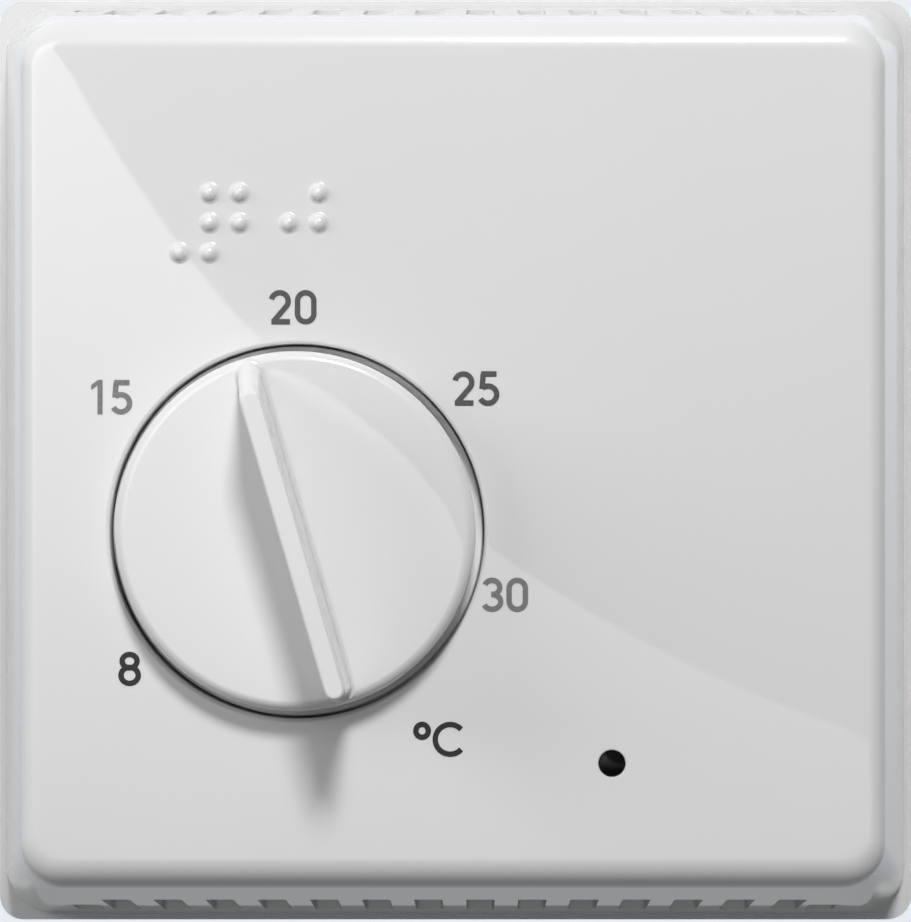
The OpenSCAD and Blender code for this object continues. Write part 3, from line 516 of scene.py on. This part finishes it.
# rounded slot tool that runs right through the top and bottom walls
def ventTool(x, length):
    outline = roundedOutline(vents["width"] / 2, length / 2, vents["round"], vents["roundSteps"])
    depth = vents["start"] + length / 2
    rings = [[Vector((x + px, -(depth + pz), z)) * mm for px, pz in outline]
             for z in (-vents["reach"], vents["reach"])]
    return loftRings("ventTool", rings)


# round hole tool that widens in a quarter round at the face
def lipTool(name, x, z, radius, bottom, lip, steps):
    face, turns, above = cover["faceDepth"], cover["lipSteps"], cover["toolClearance"]
    profile = [(0, bottom), (radius, bottom)]
    for i in range(turns + 1):
        a = quarterTurn * i / turns
        profile.append((radius + lip * (1 - cos(a)), face - lip + lip * sin(a)))
    profile += [(radius + lip, face + above), (0, face + above)]
    return revolve(name, x, z, profile, steps, closed=False)


raisedDots = {
    "pitch": 2.5, "diameter": 1.5, "height": 0.5, "first": (-20.3, 21.7), "sunk": 0.5,
    "cove": 0.16, "coveCurve": ((1.0, 0.01), (0.45, 0.035), (-0.12, 0.10)),
    "domeStart": 0.86, "domeSteps": 7, "steps": 32,
    "places": ((0, 0), (1, 0), (0, -1), (1, -1), (-1, -2), (0, -2),
               (2.65, -1), (3.65, 0), (3.65, -1)),
}


# low dome whose foot runs into the face in a small hollow curve
def makeDot(x, z):
    half, height, cove = raisedDots["diameter"] / 2, raisedDots["height"], raisedDots["cove"]
    ball = (half ** 2 + height ** 2) / (2 * height)
    face, sunk, turns = cover["faceDepth"], raisedDots["sunk"], raisedDots["domeSteps"]
    foot = asin(half / ball) * raisedDots["domeStart"]
    profile = [(0, face - sunk), (half + cove, face - sunk)]
    profile += [(half + cove * share, face + rise) for share, rise in raisedDots["coveCurve"]]
    for i in range(turns):
        a = foot * (1 - i / turns)
        profile.append((ball * sin(a), face + height - ball + ball * cos(a)))
    profile.append((0, face + height))
    return revolve("dotTool", x, z, profile, raisedDots["steps"], closed=False)


windowAt = (13.3, -25.9)
window = {"radius": 1.125, "lip": 0.12, "holeStart": 20, "steps": 48}

coverShell = loftRings("coverShell", coverRings(), runsRound=True)
combine(coverShell, makeFacePlate(), "UNION")
ventPlaces = [(i - (vents["count"] - 1) / 2) * vents["pitch"] for i in range(vents["count"])]
dotPlaces = [(raisedDots["first"][0] + column * raisedDots["pitch"],
              raisedDots["first"][1] + row * raisedDots["pitch"])
             for column, row in raisedDots["places"]]
scoreLines(coverShell,
           sorted({*ventPlaces, -vents["endX"], vents["endX"], dialAxis[0], windowAt[0],
                   *[x for x, z in dotPlaces]}),
           sorted({dialAxis[1], windowAt[1], *[z for x, z in dotPlaces]}))
wellTop = cover["faceDepth"] - dialHole["wellBelowFace"]
well = revolve("well", *dialAxis, [(dialHole["wellInner"], dialHole["wellDepth"]),
                                   (dialHole["wellRadius"], dialHole["wellDepth"]),
                                   (dialHole["wellRadius"], wellTop),
                                   (dialHole["wellInner"], wellTop)], dialHole["steps"])
combine(coverShell, well, "UNION")
hole = lipTool("hole", *dialAxis, dialHole["radius"],
               dialHole["wellDepth"] + dialHole["wellFloor"], cover["lip"], dialHole["steps"])
combine(coverShell, hole, "DIFFERENCE")
windowHole = lipTool("windowHole", *windowAt, window["radius"], window["holeStart"],
                     window["lip"], window["steps"])
combine(coverShell, windowHole, "DIFFERENCE")
slots = [ventTool(x, vents["length"]) for x in ventPlaces]
slots += [ventTool(side * vents["endX"], vents["endLength"]) for side in (-1, 1)]
combine(coverShell, joinPieces(slots), "DIFFERENCE")
combine(coverShell, joinPieces([makeDot(x, z) for x, z in dotPlaces]), "UNION")
smoothFaces(coverShell, cover["sharpAngle"])
place(coverShell, "case", "cover_plastic", finishes["cover_plastic"], "front_cover")
print("cover made:", len(coverShell.data.polygons), "faces")

dial = {
    "radius": 14.9, "footRadius": 15.2, "footDepth": 24.9, "footChamfer": 0.2,
    "faceDepth": 31.0, "edgeRadius": 0.9, "wall": 1.6, "dish": 0.06,
    "rimRadius": 15.52, "rimDepth": 26.3, "rimHeight": 0.7, "rimEdge": 0.1, "rimCove": 0.04,
    "hubRadius": 5.0, "hubDepth": 23.1, "socketRadius": 3.02, "underStep": 0.8,
    "edgeSteps": 10, "faceSteps": 10, "steps": 160, "sharpAngle": 34,
}
lug = {"size": (1.6, 3.6, 4.3), "below": 14.0, "depth": 25.2}
grip = {
    "turn": 16.2, "height": 8.0, "pointFoot": 14.3, "pointTop": 11.6, "tailFoot": 14.3,
    "tailTop": 14.0, "footHalf": 0.95, "topHalfPoint": 0.88, "topHalfTail": 0.82,
    "crown": 0.24, "cove": 0.4, "coveLift": 0.015, "sunk": 0.6, "insideEdge": 0.15,
    "endSteps": 14, "sideSteps": 8, "curveSteps": 5, "riseSteps": 6,
}


def makeDialBody():
    r, edge, face, wall = dial["radius"], dial["edgeRadius"], dial["faceDepth"], dial["wall"]
    foot, footDepth, chamfer = dial["footRadius"], dial["footDepth"], dial["footChamfer"]
    rim, rimTop, rimEdge, cove = (dial["rimRadius"], dial["rimDepth"], dial["rimEdge"],
                                  dial["rimCove"])
    profile = [(foot - chamfer, footDepth), (foot, footDepth + chamfer),
               (rim, rimTop - dial["rimHeight"]), (rim, rimTop - rimEdge),
               (rim - rimEdge, rimTop), (r + cove, rimTop), (r, rimTop + cove)]
    for i in range(dial["edgeSteps"] + 1):
        a = quarterTurn * i / dial["edgeSteps"]
        profile.append((r - edge + edge * cos(a), face - edge + edge * sin(a)))
    flat = r - edge
    for i in range(1, dial["faceSteps"] + 1):
        t = 1 - i / dial["faceSteps"]
        profile.append((flat * t, face - dial["dish"] * (1 - t * t) ** 2))
    under, step, inner = face - dial["dish"] - wall, dial["underStep"], foot - wall
    socket, hub, hubDepth = dial["socketRadius"], dial["hubRadius"], dial["hubDepth"]
    profile += [(0, under - step), (socket, under - step), (socket, hubDepth), (hub, hubDepth),
                (hub, under), (inner - step, under), (inner, under - step), (inner, footDepth)]
    return revolve("dialKnob", *dialAxis, profile, dial["steps"])


# outline of one level of the grip: round at the point and at the tail, straight between them
def gripOutline(point, tail, halfPoint, halfTail):
    ends, sides = grip["endSteps"], grip["sideSteps"]
    pointAt, tailAt = point - halfPoint, tail - halfTail
    outline = []
    for i in range(ends + 1):
        a = pi * i / ends
        outline.append((halfPoint * cos(a), pointAt + halfPoint * sin(a)))
    for i in range(1, sides):
        t = i / sides
        outline.append((-halfPoint + (halfPoint - halfTail) * t, pointAt * (1 - t) - tailAt * t))
    for i in range(ends + 1):
        a = pi + pi * i / ends
        outline.append((halfTail * cos(a), -tailAt + halfTail * sin(a)))
    for i in range(1, sides):
        t = i / sides
        outline.append((halfTail + (halfPoint - halfTail) * t, -tailAt * (1 - t) + pointAt * t))
    return outline


# levels of the grip as (height, how much the outline grows): hollow foot, plain sides, round top
def gripLevels():
    height, crown, cove, lift = grip["height"], grip["crown"], grip["cove"], grip["coveLift"]
    turns, rises = grip["curveSteps"], grip["riseSteps"]
    bends = [quarterTurn * i / turns for i in range(1, turns + 1)]
    levels = [(-grip["sunk"], cove), (lift, cove)]
    levels += [(cove * (1 - cos(a)) + lift, cove * (1 - sin(a))) for a in bends]
    levels += [(cove + lift + (height - crown - cove - lift) * i / rises, 0.0)
               for i in range(1, rises + 1)]
    levels += [(height - crown + crown * sin(a), -crown * (1 - cos(a))) for a in bends]
    return levels


def makeGrip():
    turn = radians(grip["turn"])
    longest = dial["radius"] - grip["insideEdge"]

    def between(foot, top, t):
        return grip[foot] + (grip[top] - grip[foot]) * t

    rings = []
    for up, grow in gripLevels():
        t = max(0.0, up / grip["height"])
        outline = gripOutline(min(longest, between("pointFoot", "pointTop", t) + grow),
                              min(longest, between("tailFoot", "tailTop", t) + grow),
                              between("footHalf", "topHalfPoint", t) + grow,
                              between("footHalf", "topHalfTail", t) + grow)
        turned = [(px * cos(turn) - pz * sin(turn), px * sin(turn) + pz * cos(turn))
                  for px, pz in outline]
        rings.append(outlineRing(turned, dial["faceDepth"] + up, *dialAxis))
    return loftRings("grip", rings)


dialKnob = makeDialBody()
combine(dialKnob, makeGrip(), "UNION")
lugCorner = (dialAxis[0] - lug["size"][0] / 2, dialAxis[1] - lug["below"], lug["depth"])
combine(dialKnob, makeBox("lug", lugCorner, lug["size"]), "UNION")
smoothFaces(dialKnob, dial["sharpAngle"])
place(dialKnob, "dial_set", "dial_plastic", finishes["dial_plastic"], "dial")
print("dial made:", len(dialKnob.data.polygons), "faces")

lens = {
    "flange": 2.0, "foot": 25.0, "shoulder": 25.95, "gap": 0.03, "edge": 27.72,
    "dome": ((1.025, 27.82), (0.7, 27.88), (0.35, 27.91), (0, 27.92)), "sharpAngle": 35,
}
lensRadius = window["radius"] - lens["gap"]
indicatorWindow = revolve("indicatorWindow", *windowAt, [
    (0, lens["foot"]), (lens["flange"], lens["foot"]), (lens["flange"], lens["shoulder"]),
    (lensRadius, lens["shoulder"]), (lensRadius, lens["edge"]), *lens["dome"]],
    window["steps"], closed=False)
smoothFaces(indicatorWindow, lens["sharpAngle"])
place(indicatorWindow, "case", "lens_black", finishes["lens_black"], "indicator_lens")
print("indicator window made")

figure = {
    "height": 2.88, "width": 1.82, "stroke": 0.46, "proud": 0.03, "sunk": 0.02,
    "mitreLeast": 0.35, "mitreMost": 2.2, "shortest": 1e-6,
}
inks = {"black": printedInk("inkBlack", 0.012), "dark": printedInk("inkDark", 0.06),
        "grey": printedInk("inkGrey", 0.17)}
# figure, left edge, lower edge, ink
scaleFigures = (
    ("2", -15.33, 10.74, "dark"), ("0", -13.17, 10.74, "dark"),
    ("2", -0.02, 3.96, "dark"), ("5", 2.07, 3.96, "dark"),
    ("3", 2.41, -13.25, "grey"), ("0", 4.48, -13.25, "grey"),
    ("1", -30.16, 3.24, "grey"), ("5", -28.55, 3.24, "grey"),
    ("8", -27.86, -19.43, "black"),
    ("degree", -3.27, -23.9, "black"), ("C", -1.66, -25.32, "black"),
)


def arc(x, z, radiusX, radiusZ, start, end, steps=18):
    return [(x + radiusX * cos(radians(start + (end - start) * i / steps)),
             z + radiusZ * sin(radians(start + (end - start) * i / steps)))
            for i in range(steps + 1)]


def loop(x, z, radiusX, radiusZ):
    return arc(x, z, radiusX, radiusZ, 0, 360, 32)[:-1], True


# centre lines of the strokes of each figure, as (points, whether they close)
def figureLines(kind):
    s = figure["stroke"] / 2
    w, h = figure["width"], figure["height"]
    mid = w / 2
    if kind == "2":
        return [(arc(mid, h - s - 0.70, 0.70, 0.70, 168, -34) + [(0.36, s)], False),
                ([(0.2, s), (w - 0.06, s)], False)]
    if kind == "0":
        r = mid - s
        return [(arc(mid, h - s - r, r, r, 0, 180, 16) + arc(mid, s + r, r, r, 180, 360, 16), True)]
    if kind == "5":
        return [([(w - 0.22, h - s), (0.3, h - s)], False), ([(0.48, h - s), (0.38, 1.4)], False),
                (arc(mid - 0.03, 0.93, 0.72, 0.72, 130, -152), False)]
    if kind == "3":
        return [(arc(mid - 0.03, h - s - 0.6, 0.64, 0.6, 158, -96), False),
                (arc(mid - 0.03, s + 0.63, 0.72, 0.63, 96, -156), False)]
    if kind == "8":
        return [loop(mid, h - s - 0.56, 0.62, 0.56), loop(mid, s + 0.67, 0.72, 0.67)]
    if kind == "degree":
        return [loop(0.72, 0.74, 0.52, 0.54)]
    return [(arc(1.45, 1.45, 1.24, 1.24, 42, 318, 32), False)]


# flat ribbon along a centre line, a little proud of the face; corners are mitred
def makeRibbon(line, closed, x, z):
    half = figure["stroke"] / 2
    low, high = cover["faceDepth"] - figure["sunk"], cover["faceDepth"] + figure["proud"]
    count = len(line)
    points, faces = [], []
    for i, (px, pz) in enumerate(line):
        here = Vector((px, pz))
        before = Vector(line[i - 1]) if closed or i else here
        after = Vector(line[(i + 1) % count]) if closed or i < count - 1 else here
        sides = [way.normalized() for way in (here - before, after - here)
                 if way.length > figure["shortest"]]
        normals = [Vector((-way.y, way.x)) for way in sides]
        mitre = (normals[0] + normals[-1]).normalized()
        reach = min(half / max(figure["mitreLeast"], mitre.dot(normals[0])),
                    half * figure["mitreMost"])
        left, right = here + mitre * reach, here - mitre * reach
        points += [wallPoint(x + p.x, z + p.y, depth)
                   for p, depth in ((left, low), (right, low), (right, high), (left, high))]
    for i in range(count if closed else count - 1):
        a, b = 4 * i, 4 * ((i + 1) % count)
        faces += [(a + k, a + (k + 1) % 4, b + (k + 1) % 4, b + k) for k in range(4)]
    if not closed:
        faces += [(0, 1, 2, 3), tuple(range(4 * count - 4, 4 * count))]
    return makePiece("ribbon", points, faces)


def makeOne(x, z):
    h, face = figure["height"], cover["faceDepth"]
    shape = [(0.95, 0), (0.95, h), (0.58, h), (0.0, h - 0.42), (0.0, h - 0.84),
             (0.53, h - 0.46), (0.53, 0)]
    return loftRings("ribbon", [outlineRing(shape, face - figure["sunk"], x, z),
                                outlineRing(shape, face + figure["proud"], x, z)])


def makeFigure(kind, x, z):
    if kind == "1":
        return makeOne(x, z)
    ribbons = [makeRibbon(line, closed, x, z) for line, closed in figureLines(kind)]
    for ribbon in ribbons[1:]:
        combine(ribbons[0], ribbon, "UNION")
    return ribbons[0]


for ink, inkFinish in inks.items():
    figures = joinPieces([makeFigure(kind, x, z) for kind, x, z, tone in scaleFigures
                          if tone == ink])
    figures.name = "figures_" + ink
    place(figures, "case", "lens_black", inkFinish)
print("figures printed:", len(scaleFigures))

view = {
    "at": (2.7, -278.0, -6.4), "lens": 117.0, "sensor": 36, "shift": (-0.032, 0.0748),
    "nearest": 0.01, "farthest": 20,
}
cameraData = bpy.data.cameras.new("camera")
cameraData.lens = view["lens"]
cameraData.sensor_width = view["sensor"]
cameraData.shift_x, cameraData.shift_y = view["shift"]
cameraData.clip_start, cameraData.clip_end = view["nearest"], view["farthest"]
camera = bpy.data.objects.new("camera", cameraData)
camera.location = Vector(view["at"]) * mm
camera.rotation_euler = (radians(90), 0, 0)
bpy.context.scene.collection.objects.link(camera)
bpy.context.scene.camera = camera

stage = {
    "floor": -500, "back": 600, "halfWidth": 2500, "front": -2500, "top": 2200, "bend": 200,
    "bendSteps": 12, "colour": (0.86, 0.90, 0.96), "roughness": 0.9, "glow": 0.58,
}


# pale sheet that bends up from the floor both behind the object and far in front of it
def makeStage():
    bend, floor, back, turns = stage["bend"], stage["floor"], stage["back"], stage["bendSteps"]
    curve = [(bend * sin(quarterTurn * i / turns), bend * (1 - cos(quarterTurn * i / turns)))
             for i in range(turns + 1)]
    profile = [(stage["front"], stage["top"])]
    profile += [(stage["front"] + bend - across, floor + up) for across, up in reversed(curve)]
    profile += [(back - bend + across, floor + up) for across, up in curve]
    profile.append((back, stage["top"]))
    w = stage["halfWidth"]
    points = [Vector((side * w, y, z)) * mm for y, z in profile for side in (-1, 1)]
    faces = [(2 * i, 2 * i + 1, 2 * i + 3, 2 * i + 2) for i in range(len(profile) - 1)]
    return makePiece("stageSheet", points, faces)


stageSheet = makeStage()
stageSheet.data.shade_smooth()
stageFinish, stageTree, stageShader = newFinish("stagePaper")
stageShader.inputs["Base Color"].default_value = (*stage["colour"], 1)
stageShader.inputs["Roughness"].default_value = stage["roughness"]
stageShader.inputs["Emission Color"].default_value = (*stage["colour"], 1)
stageShader.inputs["Emission Strength"].default_value = stage["glow"]
stageSheet.data.materials.append(stageFinish)
stageSheet.visible_diffuse = stageSheet.visible_glossy = stageSheet.visible_shadow = False

# bright card in front of the object, seen only in the gloss: an arc by its inner edge, and
# fading from "bright" height down to "dark" height
card = {
    "distance": 500, "centre": (202.1, 269.8), "radius": 343.6, "reach": 330,
    "start": 165, "end": 285, "step": 3, "strength": 3.1, "dark": -150, "bright": 110,
}


def makeCard():
    depth = cover["faceDepth"] + card["distance"]
    cx, cz = card["centre"]
    rows = [[wallPoint(cx + r * cos(radians(a)), cz + r * sin(radians(a)), depth)
             for r in (card["radius"], card["radius"] + card["reach"])]
            for a in range(card["start"], card["end"] + 1, card["step"])]
    points = [p for row in rows for p in row]
    faces = [(2 * i, 2 * i + 1, 2 * i + 3, 2 * i + 2) for i in range(len(rows) - 1)]
    return makePiece("lightCard", points, faces)


lightCard = makeCard()
cardFinish, cardTree, cardShader = newFinish("cardLight")
cardShader.inputs["Base Color"].default_value = (0, 0, 0, 1)
cardShader.inputs["Emission Color"].default_value = (1, 1, 1, 1)
cardWhere = cardTree.nodes.new("ShaderNodeTexCoord")
cardSplit = cardTree.nodes.new("ShaderNodeSeparateXYZ")
cardTree.links.new(cardWhere.outputs["Object"], cardSplit.inputs["Vector"])
cardGlow = spread(cardTree, cardSplit.outputs["Z"], 0, card["strength"],
                  card["dark"] * mm, card["bright"] * mm)
cardTree.links.new(cardGlow, cardShader.inputs["Emission Strength"])
lightCard.data.materials.append(cardFinish)
lightCard.visible_camera = lightCard.visible_diffuse = lightCard.visible_shadow = False


def addLamp(name, at, aim, size, power, inGloss=False):
    data = bpy.data.lights.new(name, "AREA")
    data.shape = "DISK"
    data.size = size * mm
    data.energy = power
    lampObject = bpy.data.objects.new(name, data)
    lampObject.location = Vector(at) * mm
    lampObject.rotation_mode = "QUATERNION"
    lampObject.rotation_quaternion = (Vector(aim) - Vector(at)).to_track_quat("-Z", "Y")
    lampObject.visible_camera = False
    lampObject.visible_glossy = inGloss
    bpy.context.scene.collection.objects.link(lampObject)


lamps = {
    "keyLamp": {"at": (48, -431, 362), "aim": (-5, -28, -10), "size": 120, "power": 2.3,
                "inGloss": True},
    "leftLamp": {"at": (-490, -210, 190), "aim": (0, -28, 0), "size": 300, "power": 1.3},
    "rightLamp": {"at": (490, -210, 190), "aim": (0, -28, 0), "size": 300, "power": 0.12},
    "lowLamp": {"at": (0, -390, -430), "aim": (0, -28, 0), "size": 300, "power": 0.22},
    "backLamp": {"at": (-60, 540, 60), "aim": (0, 0, 0), "size": 300, "power": 1.1},
}
for name, look in lamps.items():
    addLamp(name, **look)

# soft room light by direction: dim in front; behind the wall side bright above, darker below
room = {
    "colour": (0.93, 0.96, 1.0), "front": 0.10, "middle": 0.67, "slope": 1.1, "slopeEnd": 0.28,
    "turnStart": -0.1, "turnEnd": 0.8,
}


def makeRoomLight():
    world = bpy.data.worlds.new("roomLight")
    world.use_nodes = True
    tree = world.node_tree
    where = tree.nodes.new("ShaderNodeTexCoord")
    split = tree.nodes.new("ShaderNodeSeparateXYZ")
    tree.links.new(where.outputs["Generated"], split.inputs["Vector"])
    slopeEnd = room["slopeEnd"]
    reach = room["slope"] * slopeEnd
    above = spread(tree, split.outputs["Z"], room["middle"] - reach, room["middle"] + reach,
                   -slopeEnd, slopeEnd)
    behind = spread(tree, split.outputs["Y"], 0, 1, room["turnStart"], room["turnEnd"])
    mix = tree.nodes.new("ShaderNodeMix")  # sockets 0, 2 and 3: share, first and second number
    mix.inputs[2].default_value = room["front"]
    tree.links.new(behind, mix.inputs[0])
    tree.links.new(above, mix.inputs[3])
    back = tree.nodes["Background"]
    back.inputs["Color"].default_value = (*room["colour"], 1)
    tree.links.new(mix.outputs[0], back.inputs["Strength"])
    bpy.context.scene.world = world


makeRoomLight()
bpy.context.scene.view_settings.view_transform = "Standard"
print("stage and lamps set")
